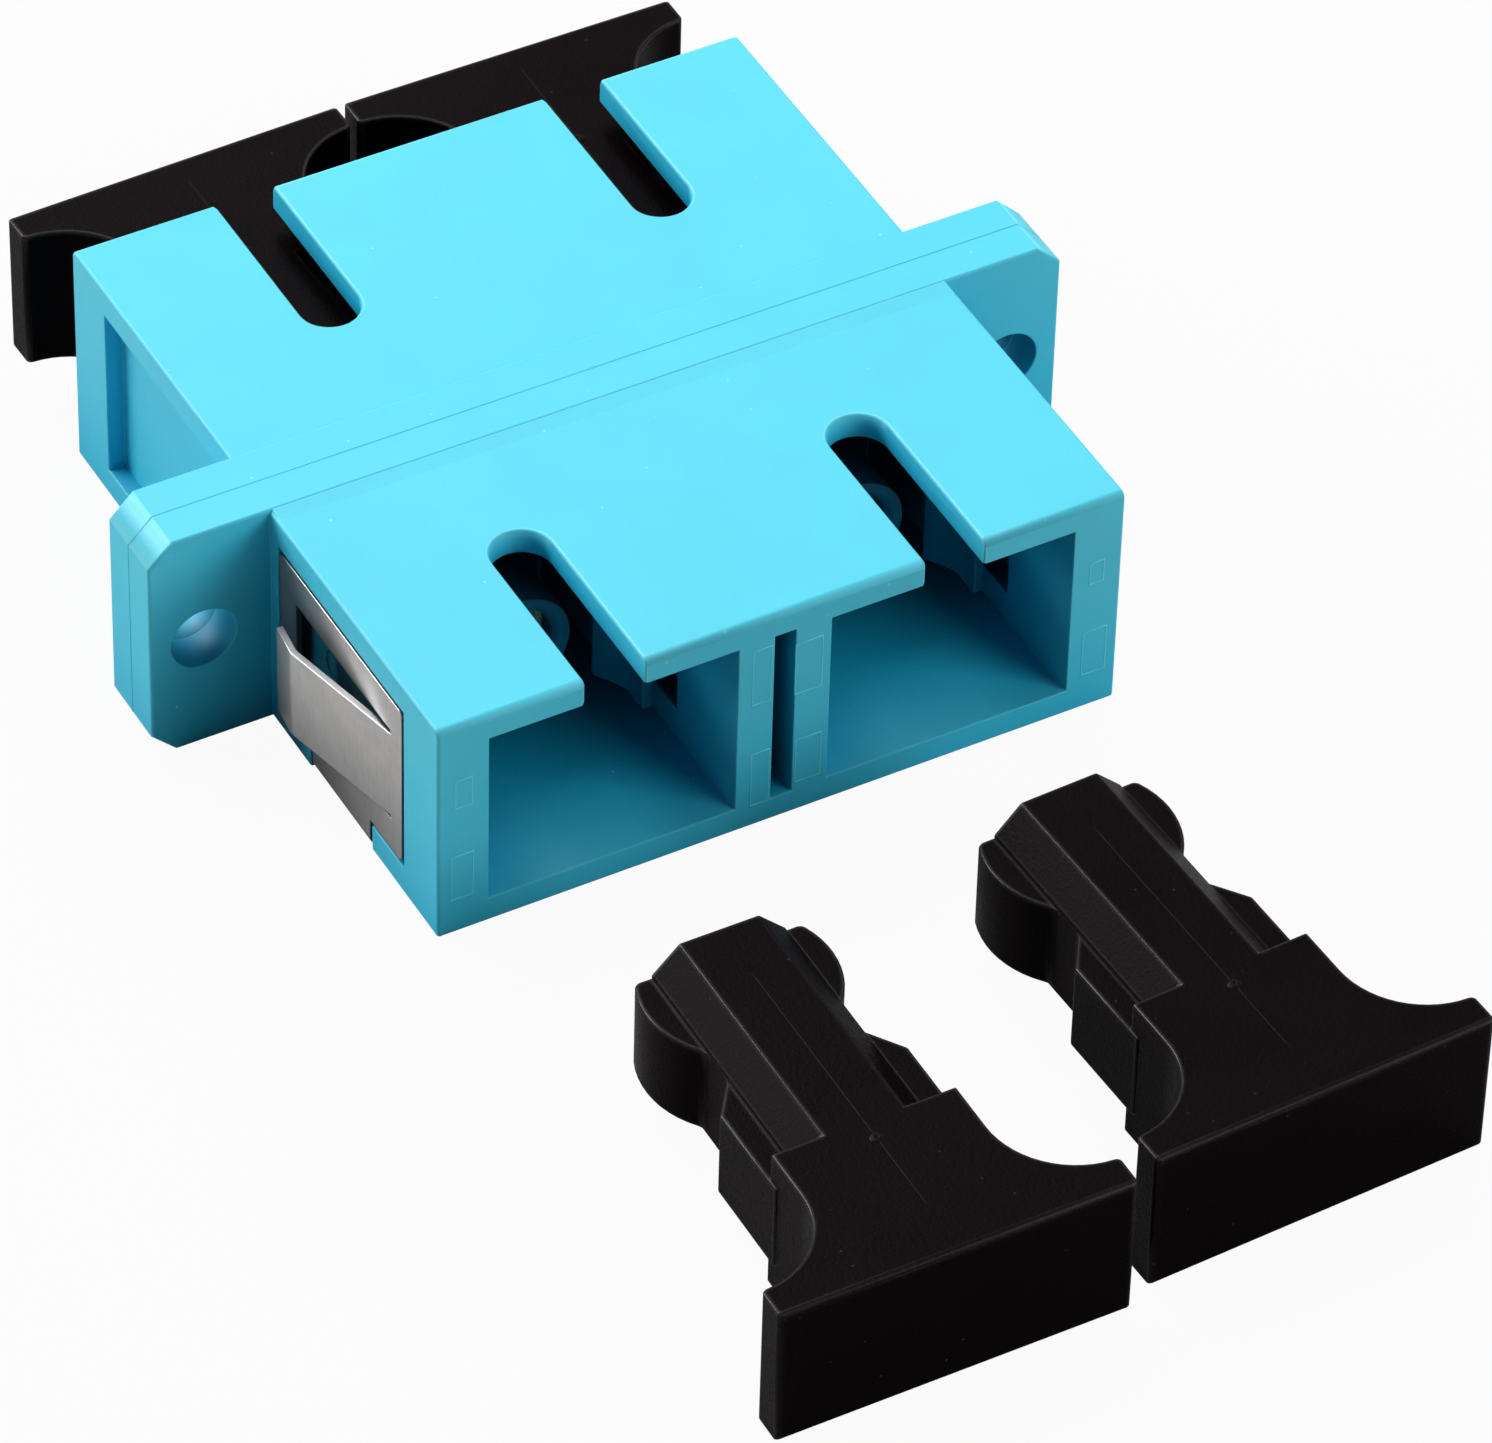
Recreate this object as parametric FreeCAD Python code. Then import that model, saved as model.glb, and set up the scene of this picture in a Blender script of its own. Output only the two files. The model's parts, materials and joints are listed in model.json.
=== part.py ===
import FreeCAD, Part
import math
import os

# SC duplex fibre adapter: two moulded halves welded at the flange, four latch
# inserts, two split sleeves, one sheet-metal panel clip and four dust plugs.
#
# Frame: X runs across the two ports, Y runs through them (the front ports open
# towards -Y), Z is up. The origin lies on the underside of the body, on the weld
# line of the flange, midway between the ports. Lengths are millimetres. A "reach"
# is a distance from the weld line, whichever half it is measured on.

V = FreeCAD.Vector
UP = V(0, 0, 1)
THROUGH = V(0, 1, 0)

# --- body ---------------------------------------------------------------------
PORT_PITCH = 12.7
BODY_WIDTH = 25.7
BODY_HEIGHT = 9.2
HALF_LENGTH = 13.6
BODY_EDGE_ROUND = 0.12
FRONT_TOP_ROUND = 0.28

PORT_WIDTH = 9.2
PORT_HEIGHT = 7.15
KEY_SLOT_WIDTH = 2.2
KEY_SLOT_LENGTH = 7.65
KEY_SLOT_RIM_CHAMFER = 0.1
SLIT_WIDTH = 0.77
SLIT_HEIGHT = 7.25
SLIT_LENGTH = 10.5

# --- flange -------------------------------------------------------------------
FLANGE_WIDTH = 34.7
FLANGE_LAYER = 1.5
FLANGE_CHAMFER = 0.9
FLANGE_PROUD = 0.08
FLANGE_EDGE_ROUND = 0.12
SCREW_HOLE_INSET = 2.0
SCREW_HOLE_DIAMETER = 2.4
WELD_PIN_RISE = 2.9
WELD_PIN_DIAMETER = 0.7
WELD_PIN_LENGTH = 0.8
WELD_PIN_CLEARANCE = 0.05

# --- latch insert -------------------------------------------------------------
BASE_WIDTH = 9.9
BASE_HEIGHT = 7.9
BASE_THICKNESS = 1.9
BASE_CORNER_ROUND = 0.4
SEAT_CLEARANCE = 0.05
BARREL_DIAMETER = 4.05
BARREL_REACH = 6.7
FERRULE_ENTRY_DIAMETER = 2.85
FERRULE_ENTRY_CHAMFER = 0.25
ARM_INNER = 3.4
ARM_THICKNESS = 0.6
ARM_HEIGHT = 4.2
ARM_REACH = 9.3
ARM_TIP_THICKNESS = 0.35
ARM_TAPER_LENGTH = 1.5
HOOK_HEIGHT = 3.7
HOOK_GAP = 5.2
HOOK_REACH = 7.1
HOOK_LAND = 0.2
HOOK_LEAD_IN = 1.45
HOOK_LEAD_IN_HOLLOW = 0.08
ARM_PLUG_CLEARANCE = 0.12
ARM_WINDOW_DEPTH = 0.8
ARM_WINDOW_MARGIN = 0.35
ARM_WINDOW_LEAD = 0.15

# --- split sleeve -------------------------------------------------------------
SLEEVE_OUTER_DIAMETER = 3.2
SLEEVE_BORE = 2.5
SLEEVE_LENGTH = 11.4
SLEEVE_SLIT = 0.45
SLEEVE_CLEARANCE = 0.05

# --- panel clip ---------------------------------------------------------------
CLIP_SHEET = 0.25
CLIP_BEND_RADIUS = 0.2
CLIP_NEAR_REACH = 2.15
CLIP_FAR_REACH = 11.0
CLIP_BOTTOM = 1.25
CLIP_TOP = 7.95
CLIP_CORNER_ROUND = 0.25
CLIP_MARGIN = 0.13
STRAP_NEAR_REACH = 4.45
STRAP_FAR_REACH = 8.7
CLIP_WINDOW_NEAR_REACH = 3.3
CLIP_WINDOW_FAR_REACH = 10.2
TONGUE_BOTTOM = 2.75
TONGUE_TOP = 6.4
TONGUE_GAP = 0.15
TONGUE_RISE = 1.15
TONGUE_BEND_REACH = 5.2
TONGUE_TIP_REACH = 3.9
TONGUE_TIP_TUCK = 0.15
TONGUE_BEND_ROUND = 0.6
SIDE_RECESS_DEPTH = 0.65
STRAP_RECESS_CLEARANCE = 0.02
RECESS_DIMPLE_DIAMETER = 1.25
RECESS_DIMPLE_DEPTH = 0.1
RECESS_DIMPLE_REACH = 4.8

# --- dust plug ----------------------------------------------------------------
PLUG_HEIGHT = 5.7
PLUG_LENGTH = 16.05
GRIP_WIDTH = 12.8
GRIP_THICKNESS = 1.3
GRIP_EDGE_ROUND = 0.22
SHOULDER_WIDTH = 6.65
SHOULDER_REACH = 6.35
STEM_WIDTH = 4.9
STEM_BEVEL = 1.0
WING_WIDTH = 6.8
WING_HEIGHT = 3.45
WING_SETBACK = 6.5
NECK_SETBACK = 5.15
LOBE_RADIUS = 3.38
LOBE_SETBACK = 1.48
WAIST_RADIUS = 0.8
LOBE_TIP_ROUND = 0.3
PLUG_BORE_CLEARANCE = 0.24
PLUG_BORE_SPARE = 0.6
PLUG_TIP_CLEARANCE = 0.25
FUSE_OVERLAP = 0.5

# How far a plug fitted at the rear stands aside of its port's axis, the angle that it
# is turned by about the barrel in its bore, and how far it was left short of home.
REAR_PLUGS = {"left": (-0.16, 1.4, 0.0), "right": (-0.14, -0.3, 0.15)}

# A plug taken off lies on its flat side: x and y of the middle of its grip face,
# and the angle that its axis is turned from the adapter's.
LOOSE_PLUGS = {"left": (-7.41, -38.58, -0.4), "right": (6.36, -37.82, 2.3)}

# --- derived values -----------------------------------------------------------
AXIS_Z = BODY_HEIGHT / 2
PORT_X = {"left": -PORT_PITCH / 2, "right": PORT_PITCH / 2}
HALF_BODY = BODY_WIDTH / 2
SCREW_HOLE_X = FLANGE_WIDTH / 2 - SCREW_HOLE_INSET
PLUG_TIP_REACH = BASE_THICKNESS + PLUG_TIP_CLEARANCE
PLUG_PIVOT_REACH = (PLUG_TIP_REACH + BARREL_REACH) / 2
CUT = 1.0
TOLERANCE = 0.001


def box(x0, x1, y0, y1, z0, z1):
    """Box between two corners given axis by axis."""
    return Part.makeBox(x1 - x0, y1 - y0, z1 - z0, V(x0, y0, z0))


def centred_box(width, height, reach0, reach1, x=0.0, z=AXIS_Z):
    """Box on a port-parallel axis of the front half, between two reaches."""
    return box(x - width / 2, x + width / 2, -reach1, -reach0, z - height / 2, z + height / 2)


def rod(diameter, reach0, reach1, x=0.0, z=AXIS_Z):
    """Cylinder along Y on the front half, between two reaches."""
    return Part.makeCylinder(diameter / 2, reach1 - reach0, V(x, -reach1, z), THROUGH)


def prism(points, direction):
    """Closed polygon swept along a vector."""
    wire = Part.makePolygon(points + [points[0]])
    return Part.Face(wire).extrude(direction)


def line(start, end):
    return Part.makeLine(start, end)


def arc(start, middle, end):
    return Part.Arc(start, middle, end).toShape()


def round_edges(shape, radius, chosen):
    """Fillet every edge whose bounding box satisfies the test."""
    edges = [edge for edge in shape.Edges if chosen(edge.BoundBox)]
    return shape.makeFillet(radius, edges)


def turned(shape, angle=180.0):
    """Copy turned about the vertical line through the origin."""
    copy = shape.copy()
    copy.rotate(V(0, 0, 0), UP, angle)
    return copy


def moved(shape, x, y, z):
    copy = shape.copy()
    copy.translate(V(x, y, z))
    return copy


# --- housing ------------------------------------------------------------------
def body_block():
    """Block of one half: its top front edge is rounder than the others."""
    round_start = V(-HALF_BODY, -HALF_LENGTH, BODY_HEIGHT - FRONT_TOP_ROUND)
    round_end = V(-HALF_BODY, -HALF_LENGTH + FRONT_TOP_ROUND, BODY_HEIGHT)
    bulge = FRONT_TOP_ROUND * (1 - math.sqrt(0.5))
    round_middle = V(-HALF_BODY, -HALF_LENGTH + bulge, BODY_HEIGHT - bulge)
    corners = [round_end, V(-HALF_BODY, 0, BODY_HEIGHT), V(-HALF_BODY, 0, 0),
               V(-HALF_BODY, -HALF_LENGTH, 0), round_start]
    outline = [line(a, b) for a, b in zip(corners, corners[1:])] + [arc(round_start, round_middle, round_end)]
    block = Part.Face(Part.Wire(outline)).extrude(V(BODY_WIDTH, 0, 0))
    return round_edges(block, BODY_EDGE_ROUND, lambda b: b.YMin < -BODY_EDGE_ROUND
                       and (b.XLength < BODY_EDGE_ROUND or b.ZMax < BODY_EDGE_ROUND))


def flange_layer():
    w = FLANGE_WIDTH / 2
    c = FLANGE_CHAMFER
    top = BODY_HEIGHT + FLANGE_PROUD
    outline = [(-w, c), (-w + c, 0), (w - c, 0), (w, c),
               (w, top - c), (w - c, top), (-w + c, top), (-w, top - c)]
    layer = prism([V(x, -FLANGE_LAYER, z) for x, z in outline], V(0, FLANGE_LAYER, 0))
    return round_edges(layer, FLANGE_EDGE_ROUND, lambda b: b.YMax < -FLANGE_LAYER / 2)


def key_slot(x):
    """Slot for the connector key in the top wall, round at its inner end."""
    depth = BODY_HEIGHT + CUT - AXIS_Z
    end_reach = HALF_LENGTH - KEY_SLOT_LENGTH + KEY_SLOT_WIDTH / 2
    straight = box(x - KEY_SLOT_WIDTH / 2, x + KEY_SLOT_WIDTH / 2,
                   -HALF_LENGTH - CUT, -end_reach, AXIS_Z, AXIS_Z + depth)
    end = Part.makeCylinder(KEY_SLOT_WIDTH / 2, depth, V(x, -end_reach, AXIS_Z))
    return straight.fuse(end)


def port_cavity(x):
    """Port, seat of the latch insert, and the windows that its arms spring into."""
    seat_depth = BASE_THICKNESS + SEAT_CLEARANCE
    cavity = centred_box(PORT_WIDTH, PORT_HEIGHT, -CUT, HALF_LENGTH + CUT, x)
    seat = centred_box(BASE_WIDTH + 2 * SEAT_CLEARANCE, BASE_HEIGHT + 2 * SEAT_CLEARANCE,
                       -CUT, seat_depth, x)
    windows = centred_box(PORT_WIDTH + 2 * ARM_WINDOW_DEPTH, ARM_HEIGHT + 2 * ARM_WINDOW_MARGIN,
                          seat_depth + ARM_WINDOW_MARGIN, ARM_REACH + ARM_WINDOW_LEAD, x)
    return cavity.fuse([seat, windows, key_slot(x)])


def on_slot_rim(b):
    """Whether a bounding box is that of an edge around the mouth of a key slot in the top."""
    reach_x = abs(abs(b.Center.x) - PORT_PITCH / 2) + b.XLength / 2
    near_top = b.ZMin > BODY_HEIGHT - FRONT_TOP_ROUND - TOLERANCE
    return near_top and b.YMax < -HALF_LENGTH + KEY_SLOT_LENGTH + TOLERANCE and (
        abs(reach_x - KEY_SLOT_WIDTH / 2) < TOLERANCE)


def centre_slit():
    return centred_box(SLIT_WIDTH, SLIT_HEIGHT, HALF_LENGTH - SLIT_LENGTH, HALF_LENGTH + CUT)


def side_recess(side):
    """Pocket for a leg of the clip; the strap's part of it runs out underneath."""
    inner = side * (HALF_BODY - SIDE_RECESS_DEPTH)
    outer = side * (HALF_BODY + CUT)
    x0, x1 = sorted((inner, outer))
    leg = box(x0, x1, -CLIP_FAR_REACH - CLIP_MARGIN, -CLIP_NEAR_REACH + CLIP_MARGIN,
              CLIP_BOTTOM - CLIP_MARGIN, CLIP_TOP + CLIP_MARGIN)
    strap = box(x0, x1, -STRAP_FAR_REACH - CLIP_MARGIN, -STRAP_NEAR_REACH + CLIP_MARGIN,
                -CUT, CLIP_TOP)
    return leg.fuse(strap)


def recess_dimple(side):
    """Shallow round sink mark in the floor of a side recess."""
    floor = HALF_BODY - SIDE_RECESS_DEPTH
    centre = V(side * (floor - RECESS_DIMPLE_DEPTH), -RECESS_DIMPLE_REACH, AXIS_Z)
    return Part.makeCylinder(RECESS_DIMPLE_DIAMETER / 2, RECESS_DIMPLE_DEPTH + CUT, centre, V(side, 0, 0))


def strap_recess():
    return box(-HALF_BODY - CUT, HALF_BODY + CUT,
               -STRAP_FAR_REACH - CLIP_MARGIN, -STRAP_NEAR_REACH + CLIP_MARGIN,
               -CUT, CLIP_SHEET + STRAP_RECESS_CLEARANCE)


def housing_half():
    """Front half; the rear half is the same moulding turned round."""
    holes = [rod(SCREW_HOLE_DIAMETER, -CUT, FLANGE_LAYER + CUT, side * SCREW_HOLE_X) for side in (-1, 1)]
    socket = rod(WELD_PIN_DIAMETER + 2 * WELD_PIN_CLEARANCE, -CUT,
                 WELD_PIN_LENGTH + WELD_PIN_CLEARANCE, -SCREW_HOLE_X, AXIS_Z + WELD_PIN_RISE)
    pin = rod(WELD_PIN_DIAMETER, -WELD_PIN_LENGTH, FLANGE_LAYER / 2,
              SCREW_HOLE_X, AXIS_Z + WELD_PIN_RISE)
    cuts = [port_cavity(x) for x in PORT_X.values()] + holes
    for side in (-1, 1):
        cuts += [side_recess(side), recess_dimple(side)]
    cuts += [centre_slit(), strap_recess(), socket]
    half = body_block().fuse(flange_layer()).cut(cuts).fuse(pin).removeSplitter()
    return half.makeChamfer(KEY_SLOT_RIM_CHAMFER, [edge for edge in half.Edges if on_slot_rim(edge.BoundBox)])


# --- latch insert -------------------------------------------------------------
def latch_hook():
    """Right-hand hook: square at its back, with a hollow lead-in towards the port."""
    crest = HOOK_GAP / 2
    inside = ARM_INNER + ARM_TIP_THICKNESS / 2
    slope_start = V(crest, -HOOK_REACH - HOOK_LAND, 0)
    slope_end = V(ARM_INNER, -HOOK_REACH - HOOK_LAND - HOOK_LEAD_IN, 0)
    slope = slope_end - slope_start
    hollow = V(-slope.y, slope.x, 0) * (HOOK_LEAD_IN_HOLLOW / slope.Length)
    corners = [slope_end, V(inside, slope_end.y, 0), V(inside, -HOOK_REACH, 0),
               V(crest, -HOOK_REACH, 0), slope_start]
    outline = [line(a, b) for a, b in zip(corners, corners[1:])]
    outline.append(arc(slope_start, (slope_start + slope_end) * 0.5 + hollow, slope_end))
    hook = Part.Face(Part.Wire(outline)).extrude(V(0, 0, HOOK_HEIGHT))
    return moved(hook, 0, 0, AXIS_Z - HOOK_HEIGHT / 2)


def latch_arm(spread):
    """Right-hand arm with its hook, swung outwards at its root by the spread."""
    outer = ARM_INNER + ARM_THICKNESS
    root = BASE_THICKNESS - FUSE_OVERLAP
    plan = [(ARM_INNER, root), (ARM_INNER, ARM_REACH), (ARM_INNER + ARM_TIP_THICKNESS, ARM_REACH),
            (outer, ARM_REACH - ARM_TAPER_LENGTH), (outer, root)]
    plate = prism([V(x, -reach, AXIS_Z - ARM_HEIGHT / 2) for x, reach in plan], V(0, 0, ARM_HEIGHT))
    arm = plate.fuse(latch_hook()).removeSplitter()
    arm.rotate(V(ARM_INNER + ARM_THICKNESS / 2, -BASE_THICKNESS, 0), UP, spread)
    return arm


def spread_by_plug():
    """Angle at which the hooks clear the lobes of the fitted plug that stands furthest aside."""
    asides = [abs(drift - (HOOK_REACH - PLUG_PIVOT_REACH) * math.tan(math.radians(turn)))
              for drift, turn, short in REAR_PLUGS.values()]
    pivot = ARM_INNER + ARM_THICKNESS / 2
    clear = LOBE_RADIUS + max(asides) + ARM_PLUG_CLEARANCE
    inward = pivot - HOOK_GAP / 2
    length = HOOK_REACH - BASE_THICKNESS
    swing = math.atan2(inward, length) + math.asin((clear - pivot) / math.hypot(inward, length))
    return math.degrees(swing)


def latch_insert(spread):
    """Front insert on the line x = 0: base, sleeve barrel and two latch arms."""
    base = centred_box(BASE_WIDTH, BASE_HEIGHT, SEAT_CLEARANCE / 2, BASE_THICKNESS)
    base = round_edges(base, BASE_CORNER_ROUND, lambda b: b.YLength > BASE_THICKNESS / 2)
    barrel = rod(BARREL_DIAMETER, BASE_THICKNESS - FUSE_OVERLAP, BARREL_REACH)
    right_arm = latch_arm(spread)
    left_arm = right_arm.mirror(V(0, 0, 0), V(1, 0, 0))
    chamber = rod(SLEEVE_OUTER_DIAMETER + 2 * SLEEVE_CLEARANCE, -CUT, SLEEVE_LENGTH / 2 + SLEEVE_CLEARANCE)
    entry = rod(FERRULE_ENTRY_DIAMETER, -CUT, BARREL_REACH + CUT)
    mouth = Part.makeCone(FERRULE_ENTRY_DIAMETER / 2 + FERRULE_ENTRY_CHAMFER, FERRULE_ENTRY_DIAMETER / 2,
                          FERRULE_ENTRY_CHAMFER, V(0, -BARREL_REACH, AXIS_Z), THROUGH)
    return base.fuse([barrel, right_arm, left_arm]).cut([chamber, entry, mouth])


def split_sleeve():
    tube = rod(SLEEVE_OUTER_DIAMETER, -SLEEVE_LENGTH / 2, SLEEVE_LENGTH / 2)
    bore = rod(SLEEVE_BORE, -SLEEVE_LENGTH, SLEEVE_LENGTH)
    slit = box(-SLEEVE_SLIT / 2, SLEEVE_SLIT / 2, -SLEEVE_LENGTH, SLEEVE_LENGTH,
               AXIS_Z, AXIS_Z + SLEEVE_OUTER_DIAMETER)
    return tube.cut([bore, slit])


# --- panel clip ---------------------------------------------------------------
def clip_strap():
    """U-shaped strap under the body, up to the lower edges of the legs."""
    length = STRAP_FAR_REACH - STRAP_NEAR_REACH
    top = CLIP_BOTTOM + CLIP_SHEET

    def trough(inset, radius):
        solid = box(-HALF_BODY + inset, HALF_BODY - inset,
                    -STRAP_FAR_REACH, -STRAP_FAR_REACH + length, inset, top)
        return round_edges(solid, radius, lambda b: b.YLength > length / 2 and b.ZMax < top / 2)

    return trough(0, CLIP_BEND_RADIUS + CLIP_SHEET).cut(trough(CLIP_SHEET, CLIP_BEND_RADIUS))


def clip_tongue():
    """Sprung tongue of the right-hand leg: it rises towards the flange and its tip tucks back in."""
    face = HALF_BODY
    rise = face + TONGUE_RISE
    tip = rise - TONGUE_TIP_TUCK
    profile = [(face, CLIP_WINDOW_FAR_REACH + CLIP_SHEET), (face, CLIP_WINDOW_FAR_REACH),
               (rise, TONGUE_BEND_REACH), (tip, TONGUE_TIP_REACH), (tip - CLIP_SHEET, TONGUE_TIP_REACH),
               (rise - CLIP_SHEET, TONGUE_BEND_REACH), (face - CLIP_SHEET, CLIP_WINDOW_FAR_REACH),
               (face - CLIP_SHEET, CLIP_WINDOW_FAR_REACH + CLIP_SHEET)]
    tongue = prism([V(x, -reach, TONGUE_BOTTOM) for x, reach in profile], V(0, 0, TONGUE_TOP - TONGUE_BOTTOM))
    return round_edges(tongue, TONGUE_BEND_ROUND, lambda b: b.ZLength > CLIP_SHEET
                       and abs(b.YMin + TONGUE_BEND_REACH) < CLIP_SHEET / 2)


def clip_leg():
    """Right-hand leg: a flat plate with its window and tongue."""
    plate = box(HALF_BODY - CLIP_SHEET, HALF_BODY, -CLIP_FAR_REACH, -CLIP_NEAR_REACH, CLIP_BOTTOM, CLIP_TOP)
    plate = round_edges(plate, CLIP_CORNER_ROUND, lambda b: b.XLength > CLIP_SHEET / 2)
    window = box(HALF_BODY - CUT, HALF_BODY + CUT, -CLIP_WINDOW_FAR_REACH, -CLIP_WINDOW_NEAR_REACH,
                 TONGUE_BOTTOM - TONGUE_GAP, TONGUE_TOP + TONGUE_GAP)
    return plate.cut(window).fuse(clip_tongue())


def panel_clip():
    right = clip_leg()
    left = right.mirror(V(0, 0, 0), V(1, 0, 0))
    return clip_strap().fuse([right, left]).removeSplitter()


# --- dust plug ----------------------------------------------------------------
# The plug is built on the line x = 0 with its grip face at y = 0, its tip at
# y = PLUG_LENGTH and its flat side on z = 0.
def mirrored_prism(half, height, z):
    """Solid of a plan given as the edges of its right half, from front to back."""
    wire_edges = half + [edge.mirror(V(0, 0, 0), V(1, 0, 0)) for edge in half]
    first = half[0].Vertexes[0].Point
    last = half[-1].Vertexes[-1].Point
    for end in (first, last):
        wire_edges.append(line(V(-end.x, end.y, 0), V(end.x, end.y, 0)))
    wire = Part.Wire(Part.__sortEdges__(wire_edges))
    return moved(Part.Face(wire).extrude(V(0, 0, height)), 0, 0, z)


def plug_grip():
    """Grip plate that flows in two quarter-round hollows into the shoulder block."""
    grip = GRIP_WIDTH / 2
    shoulder = SHOULDER_WIDTH / 2
    hollow = grip - shoulder
    centre = V(grip, GRIP_THICKNESS + hollow, 0)
    diagonal = hollow * math.sqrt(0.5)
    plate_end = V(grip, GRIP_THICKNESS, 0)
    block_start = V(shoulder, GRIP_THICKNESS + hollow, 0)
    half = [line(V(grip, 0, 0), plate_end),
            arc(plate_end, centre - V(diagonal, diagonal, 0), block_start),
            line(block_start, V(shoulder, SHOULDER_REACH, 0))]
    solid = mirrored_prism(half, PLUG_HEIGHT, 0)
    return round_edges(solid, GRIP_EDGE_ROUND, lambda b: b.YMax < GRIP_THICKNESS / 2
                       or (b.ZLength > PLUG_HEIGHT / 2 and b.YMax < GRIP_THICKNESS + GRIP_EDGE_ROUND))


def plug_stem():
    """Stem of octagonal section."""
    w = STEM_WIDTH / 2
    c = STEM_BEVEL
    h = PLUG_HEIGHT
    section = [(-w + c, 0), (w - c, 0), (w, c), (w, h - c), (w - c, h), (-w + c, h), (-w, h - c), (-w, c)]
    start = SHOULDER_REACH - FUSE_OVERLAP
    return prism([V(x, start, z) for x, z in section], V(0, PLUG_LENGTH - start, 0))


def plug_core():
    """Middle layer of the stem: wings, waist and the round lobes at the tip."""
    wing = WING_WIDTH / 2
    stem = STEM_WIDTH / 2
    lobe_y = PLUG_LENGTH - LOBE_SETBACK
    reach = LOBE_RADIUS + WAIST_RADIUS
    waist_x = stem + WAIST_RADIUS
    waist_y = lobe_y - math.sqrt(reach ** 2 - waist_x ** 2)
    waist_end = V(waist_x, waist_y, 0) * (LOBE_RADIUS / reach) + V(0, lobe_y, 0) * (WAIST_RADIUS / reach)
    tip_x = math.sqrt(LOBE_RADIUS ** 2 - LOBE_SETBACK ** 2)
    corners = [V(wing, SHOULDER_REACH - FUSE_OVERLAP, 0), V(wing, PLUG_LENGTH - WING_SETBACK, 0),
               V(stem, PLUG_LENGTH - NECK_SETBACK, 0), V(stem, waist_y, 0)]
    half = [line(a, b) for a, b in zip(corners, corners[1:])]
    turn = math.atan2(waist_end.y - waist_y, waist_end.x - waist_x)
    half_turn = (turn + math.pi) / 2
    middle = V(waist_x + WAIST_RADIUS * math.cos(half_turn), waist_y + WAIST_RADIUS * math.sin(half_turn), 0)
    half.append(arc(corners[-1], middle, waist_end))
    half.append(arc(waist_end, V(LOBE_RADIUS, lobe_y, 0), V(tip_x, PLUG_LENGTH, 0)))
    core = mirrored_prism(half, WING_HEIGHT, (PLUG_HEIGHT - WING_HEIGHT) / 2)
    return round_edges(core, LOBE_TIP_ROUND, lambda b: b.ZLength > WING_HEIGHT / 2
                       and b.YMin > PLUG_LENGTH - LOBE_TIP_ROUND)


def dust_plug():
    """Plug with the blind bore that goes over the barrel of a latch insert."""
    depth = BARREL_REACH - PLUG_TIP_REACH + PLUG_BORE_SPARE
    bore = Part.makeCylinder(BARREL_DIAMETER / 2 + PLUG_BORE_CLEARANCE, depth + CUT,
                             V(0, PLUG_LENGTH - depth, PLUG_HEIGHT / 2), THROUGH)
    return plug_grip().fuse([plug_stem(), plug_core()]).cut(bore).removeSplitter()


def fitted_plug(plug, side):
    """Plug in a rear port, its tip just clear of the insert's base."""
    drift, turn, short = REAR_PLUGS[side]
    fitted = moved(turned(plug), 0, PLUG_TIP_REACH + PLUG_LENGTH + short, AXIS_Z - PLUG_HEIGHT / 2)
    fitted.rotate(V(0, PLUG_PIVOT_REACH, 0), UP, turn)
    return moved(fitted, PORT_X[side] + drift, 0, 0)


# --- assembly -----------------------------------------------------------------
def build_nodes():
    front_half = housing_half()
    resting_insert = latch_insert(0.0)
    sprung_insert = turned(latch_insert(spread_by_plug()))
    sleeve = split_sleeve()
    plug = dust_plug()

    nodes = {"front_housing": front_half, "rear_housing": turned(front_half), "panel_clip": panel_clip()}
    for side, x in PORT_X.items():
        nodes["latch_insert_front_" + side] = moved(resting_insert, x, 0, 0)
        nodes["latch_insert_rear_" + side] = moved(sprung_insert, x, 0, 0)
        nodes["split_sleeve_" + side] = moved(sleeve, x, 0, 0)
        nodes["dust_plug_rear_" + side] = fitted_plug(plug, side)
        loose_x, loose_y, angle = LOOSE_PLUGS[side]
        nodes["dust_plug_loose_" + side] = moved(turned(plug, angle), loose_x, loose_y, 0)
    return nodes


def main():
    os.makedirs("parts", exist_ok=True)
    for name, shape in build_nodes().items():
        solids = shape.Solids
        if len(solids) != 1 or not shape.isValid():
            raise ValueError(name + " is not one valid solid")
        solids[0].exportStep("parts/" + name + ".step")


main()
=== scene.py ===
# %% [markdown]
# # Dressing a fibre adapter
#
# The part is a duplex SC fibre adapter, the small aqua coupler that sits in a patch
# panel and joins two pairs of fibre plugs. Its solids come ready made, in metres,
# with X across the two ports, Y through them and Z up. This file gives those solids
# softened edges and plastic, steel and ceramic finishes, adds the fine marks that
# moulding leaves, and sets up the camera, the lamps and the floor.

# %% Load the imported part
import json
import math

import bpy
import numpy as np
from mathutils import Matrix, Vector

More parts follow.
